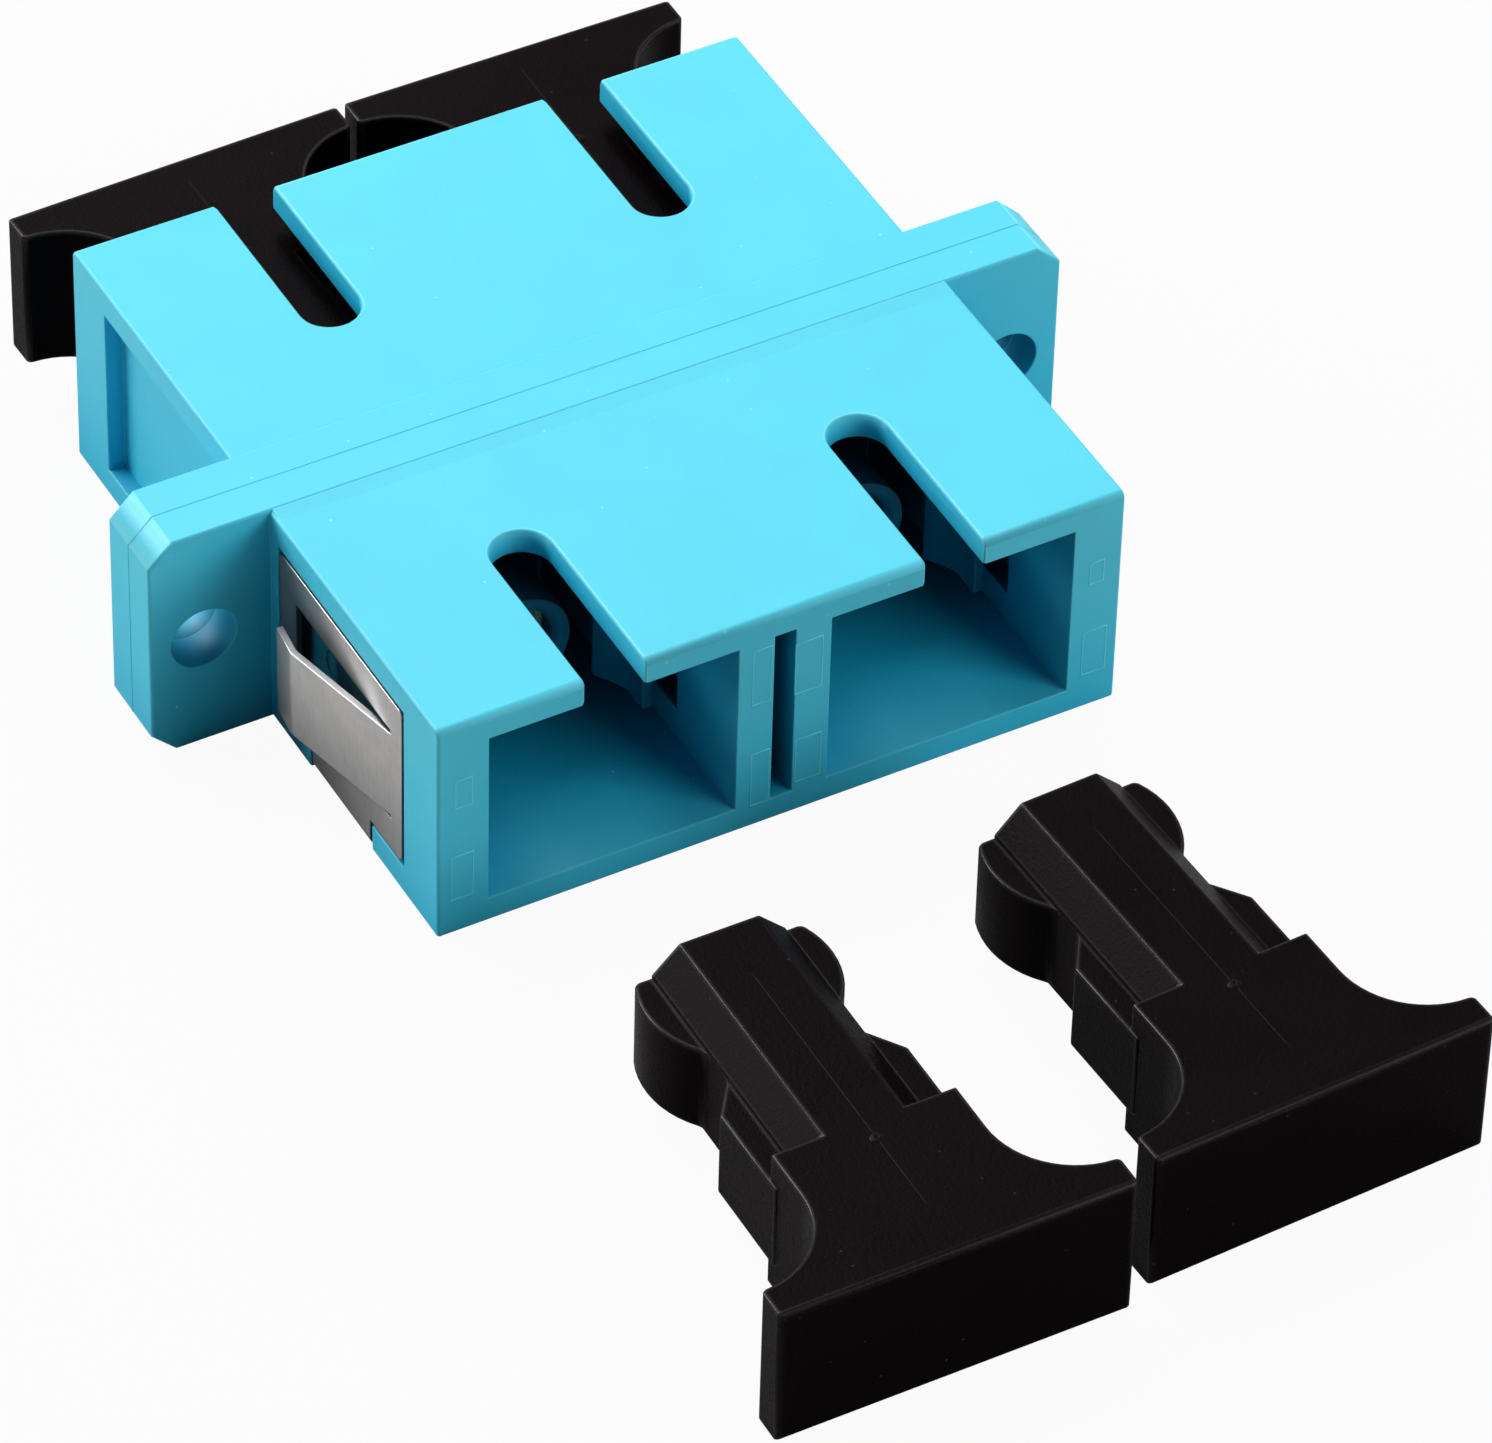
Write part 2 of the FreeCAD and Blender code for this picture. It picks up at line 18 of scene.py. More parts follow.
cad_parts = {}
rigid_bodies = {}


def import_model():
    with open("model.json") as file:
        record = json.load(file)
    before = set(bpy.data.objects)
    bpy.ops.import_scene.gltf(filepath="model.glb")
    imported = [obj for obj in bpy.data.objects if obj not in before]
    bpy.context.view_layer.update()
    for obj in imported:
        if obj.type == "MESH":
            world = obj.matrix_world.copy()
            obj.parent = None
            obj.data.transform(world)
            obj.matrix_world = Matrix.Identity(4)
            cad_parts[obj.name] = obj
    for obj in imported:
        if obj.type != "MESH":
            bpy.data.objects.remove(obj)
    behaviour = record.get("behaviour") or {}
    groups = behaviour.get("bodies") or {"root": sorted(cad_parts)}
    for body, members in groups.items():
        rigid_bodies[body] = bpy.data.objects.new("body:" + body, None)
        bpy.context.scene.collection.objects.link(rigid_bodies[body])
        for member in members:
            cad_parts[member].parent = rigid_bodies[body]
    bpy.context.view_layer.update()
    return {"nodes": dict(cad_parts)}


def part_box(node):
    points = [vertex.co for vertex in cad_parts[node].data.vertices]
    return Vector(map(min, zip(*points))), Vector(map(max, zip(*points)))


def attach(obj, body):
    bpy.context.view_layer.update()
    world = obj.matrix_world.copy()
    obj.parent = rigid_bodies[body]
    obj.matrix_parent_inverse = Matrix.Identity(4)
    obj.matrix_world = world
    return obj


for leftover in list(bpy.data.objects):
    bpy.data.objects.remove(leftover)

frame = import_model()
nodes = frame["nodes"]
MM = 0.001
print("nodes:", sorted(nodes))

# %% [markdown]
# ## The camera
#
# A small product looks best from far away through a long lens, so that its edges stay nearly
# parallel. The camera looks down on the adapter from its front left. Azimuth, elevation and roll
# place it, and the lens is given as one number, which sets the width of the view at the distance of
# the target.

# %% Place the camera
CAMERA_AZIMUTH = math.radians(-29.721)
CAMERA_ELEVATION = math.radians(42.914)
CAMERA_ROLL = math.radians(1.692)
CAMERA_DISTANCE = 328.33 * MM
CAMERA_TARGET = Vector((1.188, -9.026, 0.0)) * MM
SENSOR_WIDTH = 36.0
LENS = 235.01
NEAREST_SEEN = 10 * MM
FARTHEST_SEEN = 10.0

scene = bpy.context.scene
back = Vector((math.sin(CAMERA_AZIMUTH) * math.cos(CAMERA_ELEVATION),
               -math.cos(CAMERA_AZIMUTH) * math.cos(CAMERA_ELEVATION),
               math.sin(CAMERA_ELEVATION)))
level = Vector((math.cos(CAMERA_AZIMUTH), math.sin(CAMERA_AZIMUTH), 0.0))
upright = back.cross(level)
right = level * math.cos(CAMERA_ROLL) + upright * math.sin(CAMERA_ROLL)
up = upright * math.cos(CAMERA_ROLL) - level * math.sin(CAMERA_ROLL)

camera_data = bpy.data.cameras.new("camera")
camera_data.sensor_width = SENSOR_WIDTH
camera_data.lens = LENS
camera_data.clip_start = NEAREST_SEEN
camera_data.clip_end = FARTHEST_SEEN
camera = bpy.data.objects.new("camera", camera_data)
camera.matrix_world = (Matrix.Translation(CAMERA_TARGET + back * CAMERA_DISTANCE)
                       @ Matrix((right, up, back)).transposed().to_4x4())
scene.collection.objects.link(camera)
scene.camera = camera
print("camera at", [round(v / MM, 1) for v in camera.location], "mm")

# %% [markdown]
# ## Small tools for node trees
#
# Every finish below is a tree of shader nodes. One function adds a node, sets its
# plain values and links its inputs, so that a finish reads from top to bottom. Three
# more stand for the steps that come again and again: a sum, a range taken to
# another range, and a blend of two colours.

# %% Helpers that add nodes
def add_node(tree, kind, inputs=None, **settings):
    """Adds a node; inputs maps socket names or numbers to values or to other sockets."""
    node = tree.nodes.new(kind)
    for name, value in settings.items():
        setattr(node, name, value)
    for key, value in (inputs or {}).items():
        if isinstance(value, bpy.types.NodeSocket):
            tree.links.new(value, node.inputs[key])
        else:
            node.inputs[key].default_value = value
    return node


def calculate(tree, operation, first, second=0.0, third=None, clamp=False):
    """One sum on sockets or numbers; gives the result's socket."""
    values = {0: first, 1: second}
    if third is not None:
        values[2] = third
    return add_node(tree, "ShaderNodeMath", values, operation=operation, use_clamp=clamp).outputs[0]


def remap(tree, value, low, high, to_low=0.0, to_high=1.0):
    """Value taken from one range to another, held at the ends."""
    return add_node(tree, "ShaderNodeMapRange",
                    {"Value": value, "From Min": low, "From Max": high,
                     "To Min": to_low, "To Max": to_high}).outputs[0]


def blend_colour(tree, share, first, second, most=None):
    """Colour from the first to the second by a share; most, where given, scales the share down."""
    if most is not None:
        share = calculate(tree, "MULTIPLY", share, most)
    mixer = add_node(tree, "ShaderNodeMix", {"Factor": share}, data_type="RGBA")
    for socket, colour in ((mixer.inputs["A"], first), (mixer.inputs["B"], second)):
        if isinstance(colour, bpy.types.NodeSocket):
            tree.links.new(colour, socket)
        else:
            socket.default_value = (*colour, 1)
    return mixer.outputs["Result"]

# %% [markdown]
# ## Materials and node groups
#
# A material is a tree that ends in one shader. An effect that several finishes share,
# such as the grain, is built once as a node group with named sockets, as a maker
# keeps one spray can for several parts.

# %% Helpers for materials and groups
def new_material(name):
    """An empty material and its tree."""
    material = bpy.data.materials.new(name)
    material.use_nodes = True
    material.node_tree.nodes.clear()
    return material, material.node_tree


def place_on_object(tree):
    """The place of each point on its own object, so that a pattern moves with the object."""
    return add_node(tree, "ShaderNodeTexCoord").outputs["Object"]


def show(tree, shader):
    """Links a shader node to the material's output."""
    add_node(tree, "ShaderNodeOutputMaterial", {"Surface": shader.outputs[0]})


def new_group(name, inputs, outputs):
    """An empty shader node group; inputs and outputs are lists of (name, kind of value)."""
    group = bpy.data.node_groups.new(name, "ShaderNodeTree")
    for in_out, sockets in (("INPUT", inputs), ("OUTPUT", outputs)):
        for label, kind in sockets:
            group.interface.new_socket(label, in_out=in_out, socket_type="NodeSocket" + kind)
    given = add_node(group, "NodeGroupInput").outputs
    return group, given, add_node(group, "NodeGroupOutput").inputs


def use_group(tree, group, **inputs):
    """The outputs of a group node; an input Grain_Size sets or links the socket Grain Size."""
    named = {key.replace("_", " "): value for key, value in inputs.items()}
    return add_node(tree, "ShaderNodeGroup", named, node_tree=group).outputs

# %% [markdown]
# ## The floor and the backdrop
#
# A product shot stands on seamless white. The floor is one large sheet that looks
# nearly plain white to the camera and still catches a little of the shadow. Metal
# that mirrors the floor sees more of its shadow than the camera does, which keeps
# the underside of bright sheet metal from glowing. The world behind it is white to
# the camera and in mirror images, and sends the object hardly any light of its own:
# the lamps do that.

# %% Floor and world
FLOOR_HALF = 1.5
FLOOR_SHADE = 0.5
FLOOR_WHITE_SEEN = 0.95
FLOOR_WHITE_MIRRORED = 0.15
WORLD_STRENGTH = 0.02
WHITE = (1, 1, 1, 1)


def ray_kinds(tree):
    """Sockets that are 1 for rays from the camera, and for rays from gloss or through glass."""
    path = add_node(tree, "ShaderNodeLightPath").outputs
    mirrored = calculate(tree, "MAXIMUM", path["Is Glossy Ray"], path["Is Transmission Ray"])
    return path["Is Camera Ray"], mirrored


def floor_material():
    """Grey paper that glows nearly white to the camera, and a little in mirror images."""
    material, tree = new_material("studio_floor")
    seen, mirrored = ray_kinds(tree)
    paper = add_node(tree, "ShaderNodeBsdfDiffuse", {"Color": (*[FLOOR_SHADE] * 3, 1)})
    white = add_node(tree, "ShaderNodeEmission", {"Color": WHITE, "Strength": 1.0})
    share = calculate(tree, "MAXIMUM", calculate(tree, "MULTIPLY", seen, FLOOR_WHITE_SEEN),
                      calculate(tree, "MULTIPLY", mirrored, FLOOR_WHITE_MIRRORED))
    show(tree, add_node(tree, "ShaderNodeMixShader",
                        {0: share, 1: paper.outputs[0], 2: white.outputs[0]}))
    return material


floor_mesh = bpy.data.meshes.new("studio_floor")
floor_mesh.from_pydata([(-FLOOR_HALF, -FLOOR_HALF, 0), (FLOOR_HALF, -FLOOR_HALF, 0),
                        (FLOOR_HALF, FLOOR_HALF, 0), (-FLOOR_HALF, FLOOR_HALF, 0)],
                       [], [(0, 1, 2, 3)])
floor = bpy.data.objects.new("studio_floor", floor_mesh)
floor_mesh.materials.append(floor_material())
scene.collection.objects.link(floor)

world = bpy.data.worlds.new("studio")
world.use_nodes = True
scene.world = world
wall = world.node_tree
wall.nodes.clear()
dim = add_node(wall, "ShaderNodeBackground", {"Color": WHITE, "Strength": WORLD_STRENGTH})
white = add_node(wall, "ShaderNodeBackground", {"Color": WHITE, "Strength": 1.0})
seen_or_mirrored = calculate(wall, "MAXIMUM", *ray_kinds(wall))
mixed = add_node(wall, "ShaderNodeMixShader",
                 {0: seen_or_mirrored, 1: dim.outputs[0], 2: white.outputs[0]})
add_node(wall, "ShaderNodeOutputWorld", {"Surface": mixed.outputs[0]})
scene.view_settings.view_transform = "Standard"
print("floor", 2 * FLOOR_HALF, "m wide")

# %% [markdown]
# ## The lamps
#
# Four soft boxes stand around the object. One at the back left lights the left
# sides and glints on the slanted strips, one at the front right lights the faces of
# the ports, and two high ones behind make the top the brightest face. The high one
# on the right is kept out of mirror images, so that the black plugs stay black. A
# fifth, small one only shows in mirror images: it draws the thin bright line that
# rounded edges on the upper left have.

# %% Lamps
OBJECT_CENTRE = Vector((0, -12, 3))
LAMP_DISTANCE = 420
SOFT_BOX = 240
EDGE_BOX = 100
# Each lamp's direction from the object's centre, its power in watts and its width in mm.
LAMPS = {"lamp_left_back": ((-0.68, 0.62, 0.38), 1.22, SOFT_BOX),
         "lamp_right_front": ((0.50, -0.75, 0.40), 0.92, SOFT_BOX),
         "lamp_right_back": ((0.45, 0.60, 0.66), 0.80, SOFT_BOX),
         "lamp_over": ((0.0, 0.60, 0.80), 0.98, SOFT_BOX),
         "lamp_edges": ((-0.41, 0.64, 0.65), 1.6, EDGE_BOX)}


def soft_box(name, direction, power, size):
    """A square area lamp seen from the object's centre in a direction; its size is in mm."""
    lamp = bpy.data.lights.new(name, "AREA")
    lamp.shape = "SQUARE"
    lamp.size = size * MM
    lamp.energy = power
    holder = bpy.data.objects.new(name, lamp)
    place = OBJECT_CENTRE + Vector(direction).normalized() * LAMP_DISTANCE
    to_centre = (OBJECT_CENTRE - place) * MM
    holder.rotation_euler = to_centre.to_track_quat("-Z", "Y").to_euler()
    holder.location = place * MM
    scene.collection.objects.link(holder)
    return holder


lamps = {lamp_name: soft_box(lamp_name, *entry) for lamp_name, entry in LAMPS.items()}
lamps["lamp_right_back"].visible_glossy = False
lamps["lamp_edges"].visible_diffuse = False
print("lamps:", sorted(lamps))

# %% [markdown]
# ## Softened edges
#
# The solids meet in mathematically sharp edges, which no moulding has, so their outer
# edges get a narrow round. Three small trees prepare that. One merges the loose
# triangles that the solid comes as. One chooses the outer edges; the two halves were
# pressed together at the weld, so their edges there get a much finer round. One
# keeps the inner corners crisp, because a mould's core has them crisp, and so that
# the shading of one wall doesn't run over into the next.

# %% Node trees that merge the triangles and choose the edges
MERGE_WITHIN = 0.001 * MM
WELD_ROUND_SHARE = 0.3
AT_WELD = 0.01 * MM
CLEAR_OF_WELD = 0.02 * MM


def geometry_group(name):
    """An empty group for a geometry modifier, its starting geometry and its end."""
    group = bpy.data.node_groups.new(name, "GeometryNodeTree")
    for in_out in ("INPUT", "OUTPUT"):
        group.interface.new_socket("Geometry", in_out=in_out, socket_type="NodeSocketGeometry")
    start = add_node(group, "NodeGroupInput").outputs[0]
    return group, start, add_node(group, "NodeGroupOutput").inputs[0]


def merging_group():
    """Merges loose triangles and drops their stored normals."""
    group, geometry, result = geometry_group("merge_triangles")
    bare = add_node(group, "GeometryNodeRemoveAttribute",
                    {"Geometry": geometry, "Name": "custom_normal"})
    merged = add_node(group, "GeometryNodeMergeByDistance",
                      {"Geometry": bare.outputs[0], "Distance": MERGE_WITHIN})
    group.links.new(merged.outputs[0], result)
    return group


def limited_group(name):
    """A group with an input for an angle as well, and each edge's signed angle."""
    group, geometry, result = geometry_group(name)
    group.interface.new_socket("Sharper Than", in_out="INPUT", socket_type="NodeSocketFloat")
    limit = add_node(group, "NodeGroupInput").outputs["Sharper Than"]
    turn = add_node(group, "GeometryNodeInputMeshEdgeAngle").outputs["Signed Angle"]
    return group, geometry, result, limit, turn


def is_greater(group, value, limit):
    """Socket that is true where a value is greater than a limit."""
    return add_node(group, "FunctionNodeCompare", {0: value, 1: limit},
                    data_type="FLOAT", operation="GREATER_THAN").outputs[0]


def weighting_group():
    """Weights the outer edges for the round; those at the weld get a small share."""
    group, geometry, result, limit, turn = limited_group("weight_outer_edges")
    outer = is_greater(group, turn, limit)
    position = add_node(group, "GeometryNodeInputPosition").outputs[0]
    place = add_node(group, "ShaderNodeSeparateXYZ", {0: position}).outputs
    from_weld = calculate(group, "ABSOLUTE", place["Y"])
    share = remap(group, from_weld, AT_WELD, CLEAR_OF_WELD, WELD_ROUND_SHARE, 1.0)
    weighted = add_node(group, "GeometryNodeStoreNamedAttribute",
                        {"Geometry": geometry, "Name": "bevel_weight_edge",
                         "Value": calculate(group, "MULTIPLY", outer, share)},
                        data_type="FLOAT", domain="EDGE")
    group.links.new(weighted.outputs[0], result)
    return group


MERGING = merging_group()
WEIGHTING = weighting_group()
print("groups:", MERGING.name, WEIGHTING.name)

# %% [markdown]
# ## Crisp inner corners
#
# An edge is crisp when it isn't shaded smooth. Where an inner edge ends alone, with no
# other crisp edge to meet, the faces on both sides of it would still share one
# normal at that point and show a pale patch. So the edges round such a loose end are
# made crisp as well. The tree finds it by counting: the share of inner edges at a
# point, times the number of edges there, is 1.

# %% Node tree that keeps the inner corners crisp
HALF = 0.5


def on_domain(group, domain, value):
    """A value fixed on the points or edges, so that the next domain gets its mean."""
    return add_node(group, "GeometryNodeFieldOnDomain", {0: value},
                    domain=domain, data_type="FLOAT").outputs[0]


def shade(group, geometry, domain, smooth, chosen=True):
    """Geometry whose chosen faces or edges are shaded smooth or crisp."""
    return add_node(group, "GeometryNodeSetShadeSmooth",
                    {"Geometry": geometry, "Shade Smooth": smooth, "Selection": chosen},
                    domain=domain).outputs[0]


def crisping_group():
    """Shades all smooth but the inner edges and the edges round an inner edge's loose end."""
    group, geometry, result, limit, turn = limited_group("keep_inner_edges_crisp")
    inner = is_greater(group, calculate(group, "MULTIPLY", turn, -1.0), limit)
    inner_share = on_domain(group, "POINT", on_domain(group, "EDGE", inner))
    neighbours = add_node(group, "GeometryNodeInputMeshVertexNeighbors").outputs["Vertex Count"]
    inner_here = calculate(group, "MULTIPLY", inner_share, neighbours)
    loose_end = on_domain(group, "POINT", calculate(group, "COMPARE", inner_here, 1.0, HALF))
    # An edge's value is the mean of its two ends, so one loose end makes it a half.
    at_loose_end = calculate(group, "GREATER_THAN", on_domain(group, "EDGE", loose_end), HALF / 2)
    chosen = calculate(group, "MAXIMUM", inner, at_loose_end)
    smooth = shade(group, shade(group, geometry, "FACE", True), "EDGE", True)
    group.links.new(shade(group, smooth, "EDGE", False, chosen), result)
    return group


CRISPING = crisping_group()
print("group:", CRISPING.name)

# %% [markdown]
# ## The stack of modifiers
#
# The round could be cut into each solid, but a stack of modifiers leaves the solid's
# own mesh as it is and can be changed later. Its steps run in order: merge the
# triangles, join those of each flat face, weight the outer edges, round them, keep
# the inner ones crisp, and weight the normals by area, so that the flats stay flat
# and all the bending is left to the rounds. Each kind of piece has its own width.

# %% Soften every solid
FLAT_WITHIN = math.radians(0.6)
ROUND_SEGMENTS = 2
LARGE_FACES_FIRST = 100
# The round's width in mm, and the least turn in degrees of an edge that gets one.
SOFTENED = {"front_housing": (0.06, 50), "rear_housing": (0.06, 50), "panel_clip": (0.03, 40),
            "latch_insert": (0.05, 40), "split_sleeve": (0.04, 40), "dust_plug": (0.07, 33)}


def add_tree(piece, group, sharper_than):
    """A geometry modifier whose tree tells inner and outer edges by an angle in degrees."""
    modifier = piece.modifiers.new(group.name, "NODES")
    modifier.node_group = group
    socket = next(item.identifier for item in group.interface.items_tree
                  if item.name == "Sharper Than")
    modifier[socket] = math.radians(sharper_than)


def soften(piece, width, sharper_than):
    """Rounds outer edges that turn by more than an angle, by a width in millimetres."""
    merge = piece.modifiers.new("merge_triangles", "NODES")
    merge.node_group = MERGING
    join = piece.modifiers.new("join_flats", "DECIMATE")
    join.decimate_type = "DISSOLVE"
    join.angle_limit = FLAT_WITHIN
    add_tree(piece, WEIGHTING, sharper_than)
    edge = piece.modifiers.new("round_edges", "BEVEL")
    edge.width = width * MM
    edge.segments = ROUND_SEGMENTS
    edge.limit_method = "WEIGHT"
    edge.use_clamp_overlap = False
    edge.miter_outer = "MITER_ARC"
    add_tree(piece, CRISPING, sharper_than)
    weigh = piece.modifiers.new("weigh_normals", "WEIGHTED_NORMAL")
    weigh.weight = LARGE_FACES_FIRST
    weigh.keep_sharp = True


def for_node(table, node_name):
    """The entry of a table whose key begins the node's name."""
    return next(entry for prefix, entry in table.items() if node_name.startswith(prefix))


for node_name, piece in nodes.items():
    soften(piece, *for_node(SOFTENED, node_name))
print("softened", len(nodes), "solids")

# %% [markdown]
# ## The skin of a moulding
#
# A moulded part copies its tool: the steel is spark-eroded or blasted, so the skin
# has a grain finer than a tenth of a millimetre over a very faint, broad unevenness
# from shrinkage. The grain could be real geometry, but at this scale a bump from
# noise on Object coordinates is enough, and the same noise varies the gloss.

# %% Moulded skin
NOISE_RANGE = (0.3, 0.7)
BROAD_PATCHES_PER_MM = 0.25


def noise(tree, place, scale, detail, roughness):
    """Smooth random values round 0.5 at each place."""
    return add_node(tree, "ShaderNodeTexNoise", {"Vector": place, "Scale": scale, "Detail": detail,
                                                 "Roughness": roughness}).outputs[0]


def bump(tree, height, depth):
    """The normal bent by a height from 0 to 1 that stands for a depth in metres."""
    return add_node(tree, "ShaderNodeBump", {"Strength": 1.0, "Distance": depth,
                                             "Height": height}).outputs[0]


def moulded_skin_group():
    """Fine grain as a bent normal, and two shares from 0 to 1: fine tone and broad tone."""
    group, given, result = new_group(
        "moulded_skin", [("Place", "Vector"), ("Grain Size", "Float"), ("Grain Depth", "Float")],
        [("Normal", "Vector"), ("Fine", "Float"), ("Broad", "Float")])
    scale = calculate(group, "DIVIDE", 1.0, given["Grain Size"])
    fine = noise(group, given["Place"], scale, detail=3.0, roughness=0.6)
    broad = noise(group, given["Place"], BROAD_PATCHES_PER_MM / MM, detail=2.0, roughness=0.5)
    group.links.new(bump(group, fine, given["Grain Depth"]), result["Normal"])
    group.links.new(remap(group, fine, *NOISE_RANGE), result["Fine"])
    group.links.new(remap(group, broad, *NOISE_RANGE), result["Broad"])
    return group


MOULDED_SKIN = moulded_skin_group()
print("group:", MOULDED_SKIN.name)

# %% [markdown]
# ## Specks and dust
#
# Unwashed mouldings carry pale specks: dust, flecks of release agent and pits. They
# are scattered sparsely, each in its own cell of a Voronoi pattern. A cell shows a
# speck only where its random value is low enough, and the speck is a small disc
# round the cell's point, so one threshold sets how many there are and another how
# large.

# %% Specks
SPECK_CORE = 0.4


def specks_group():
    """Share that is 1 in small round specks; Share of Cells says how many cells hold one."""
    group, given, result = new_group(
        "specks", [("Place", "Vector"), ("Cell Size", "Float"), ("Share of Cells", "Float"),
                   ("Radius", "Float")], [("Mask", "Float")])
    scale = calculate(group, "DIVIDE", 1.0, given["Cell Size"])
    cells = add_node(group, "ShaderNodeTexVoronoi", {"Vector": given["Place"], "Scale": scale,
                                                     "Randomness": 1.0}).outputs
    chance = add_node(group, "ShaderNodeSeparateColor", {0: cells["Color"]}).outputs[0]
    holds = calculate(group, "LESS_THAN", chance, given["Share of Cells"])
    core = calculate(group, "MULTIPLY", given["Radius"], SPECK_CORE)
    disc = remap(group, cells["Distance"], core, given["Radius"], 1.0, 0.0)
    group.links.new(calculate(group, "MULTIPLY", holds, disc), result["Mask"])
    return group


SPECKS = specks_group()
print("group:", SPECKS.name)

# %% [markdown]
# ## Painted edge highlights
#
# Edges are drawn paler than the flats, on the plastics and on the steel: a painted highlight. The
# Bevel node bends the normal near an edge; where the bent normal and the true one part, there is an
# edge. That needs no extra geometry and follows every rim of the ports and slots.

# %% Edge mask
BEVEL_SAMPLES = 6


def painted_edge_highlight_group():
    """Share from 0 to 1 on edges, from how far a rounded normal turns from the true one.

    Least and Full are the cosines of the turns at which the share leaves 0 and reaches 1.
    """
    group, given, result = new_group(
        "painted_edge_highlight", [("Radius", "Float"), ("Least", "Float"), ("Full", "Float")],
        [("Mask", "Float")])
    rounded = add_node(group, "ShaderNodeBevel", {"Radius": given["Radius"]},
                       samples=BEVEL_SAMPLES).outputs[0]
    true_normal = add_node(group, "ShaderNodeNewGeometry").outputs["True Normal"]
    same = add_node(group, "ShaderNodeVectorMath", {0: rounded, 1: true_normal},
                    operation="DOT_PRODUCT").outputs["Value"]
    group.links.new(remap(group, same, given["Least"], given["Full"]), result["Mask"])
    return group


PAINTED_EDGE_HIGHLIGHT = painted_edge_highlight_group()
print("group:", PAINTED_EDGE_HIGHLIGHT.name)

# %% [markdown]
# ## Painted shade in the recesses
#
# In a port or a corner, light reaches the eye after several bounces from dyed walls, and each
# bounce takes more of the red out. A path tracer does that by itself; on top of it, ports, corners
# and slits are drawn in a darker, deeper colour, which is painted shade. A mask of how enclosed a
# point is, from the Ambient Occlusion node, brings that painted shade in.

# %% Recess mask for painted shade
OPENNESS_SAMPLES = 4
SHUT_IN_OPENNESS = (0.88, 0.35)
NARROW_OPENNESS = (0.32, 0.05)


def recess_shade_group():
    """Two shares, 0 in the open: Shut In is 1 inside a port, Narrow is 1 in a slit.

    Reach is how far away a wall still counts.
    """
    group, given, result = new_group("recess_shade", [("Reach", "Float")],
                                     [("Shut In", "Float"), ("Narrow", "Float")])
    openness = add_node(group, "ShaderNodeAmbientOcclusion", {"Distance": given["Reach"]},
                        samples=OPENNESS_SAMPLES).outputs["AO"]
    group.links.new(remap(group, openness, *SHUT_IN_OPENNESS), result["Shut In"])
    group.links.new(remap(group, openness, *NARROW_OPENNESS), result["Narrow"])
    return group


RECESS_SHADE = recess_shade_group()
print("group:", RECESS_SHADE.name)

# %% [markdown]
# ## Aqua plastic
#
# Housings and inserts are moulded from the same glass-filled polyester, dyed aqua.
# It is satin: the colour comes from inside the plastic, and a weak broad sheen lies over it. The
# colour varies slightly with the broad unevenness and with the grain, and a few specks are nearly
# white. Edges are drawn paler, which is a painted highlight, and recesses darker, which is painted
# shade.

# %% Finish of the housings and inserts
AQUA_GRAIN = {"Grain_Size": 0.09 * MM, "Grain_Depth": 0.004 * MM}
AQUA_SPECKS = {"Cell_Size": 0.75 * MM, "Share_of_Cells": 0.16, "Radius": 0.09}
FINE_EDGE = {"Least": 0.98, "Full": 0.82}
DEEPER = 0.94
NARROW_SHADE = 0.2
GLOSS_SPREAD = 0.06


def aqua_plastic(name, colour, edge, speck, recess_shade, roughness):
    """Satin plastic from the colours of its flats and specks, of its edges, which are a painted
    highlight, and of its recesses, which are painted shade.
    """
    material, tree = new_material(name)
    place = place_on_object(tree)
    skin = use_group(tree, MOULDED_SKIN, Place=place, **AQUA_GRAIN)
    specks = use_group(tree, SPECKS, Place=place, **AQUA_SPECKS)
    edge_highlight = use_group(tree, PAINTED_EDGE_HIGHLIGHT, Radius=0.08 * MM, **FINE_EDGE)
    recess_shade_mask = use_group(tree, RECESS_SHADE, Reach=9 * MM)
    deeper = tuple(DEEPER * part for part in colour)
    narrow = tuple(NARROW_SHADE * part for part in recess_shade)
    tone = blend_colour(tree, skin["Broad"], deeper, colour)
    tone = blend_colour(tree, skin["Fine"], tone, deeper, most=0.5)
    # Painted shade: inside the ports the recess colour, and in slits a darker copy of it.
    tone = blend_colour(tree, recess_shade_mask["Shut In"], tone, recess_shade)
    tone = blend_colour(tree, recess_shade_mask["Narrow"], tone, narrow)
    # Painted highlight: edges take the paler edge colour.
    tone = blend_colour(tree, edge_highlight["Mask"], tone, edge, most=0.7)
    tone = blend_colour(tree, specks["Mask"], tone, speck, most=0.35)
    gloss = remap(tree, skin["Fine"], 0.0, 1.0,
                  to_low=roughness - GLOSS_SPREAD, to_high=roughness + GLOSS_SPREAD)
    show(tree, add_node(tree, "ShaderNodeBsdfPrincipled",
                        {"Base Color": tone, "Roughness": gloss, "Specular IOR Level": 0.3,
                         "Normal": skin["Normal"]}))
    return material


housing_finish = aqua_plastic("aqua_housing_plastic", colour=(0.090, 0.65, 0.835),
                              edge=(0.24, 0.82, 0.93), speck=(0.55, 0.92, 0.98),
                              recess_shade=(0.004, 0.53, 0.82), roughness=0.5)
# The inserts sit deep in the ports, so their colours are darker copies of the housing's: painted
# shade.
insert_painted_shade_finish = aqua_plastic("aqua_insert_plastic_painted_shade", colour=(0.030, 0.42, 0.60),
                             edge=(0.07, 0.54, 0.72), speck=(0.3, 0.76, 0.86),
                             recess_shade=(0.002, 0.19, 0.31), roughness=0.5)
print("finishes:", housing_finish.name, insert_painted_shade_finish.name)
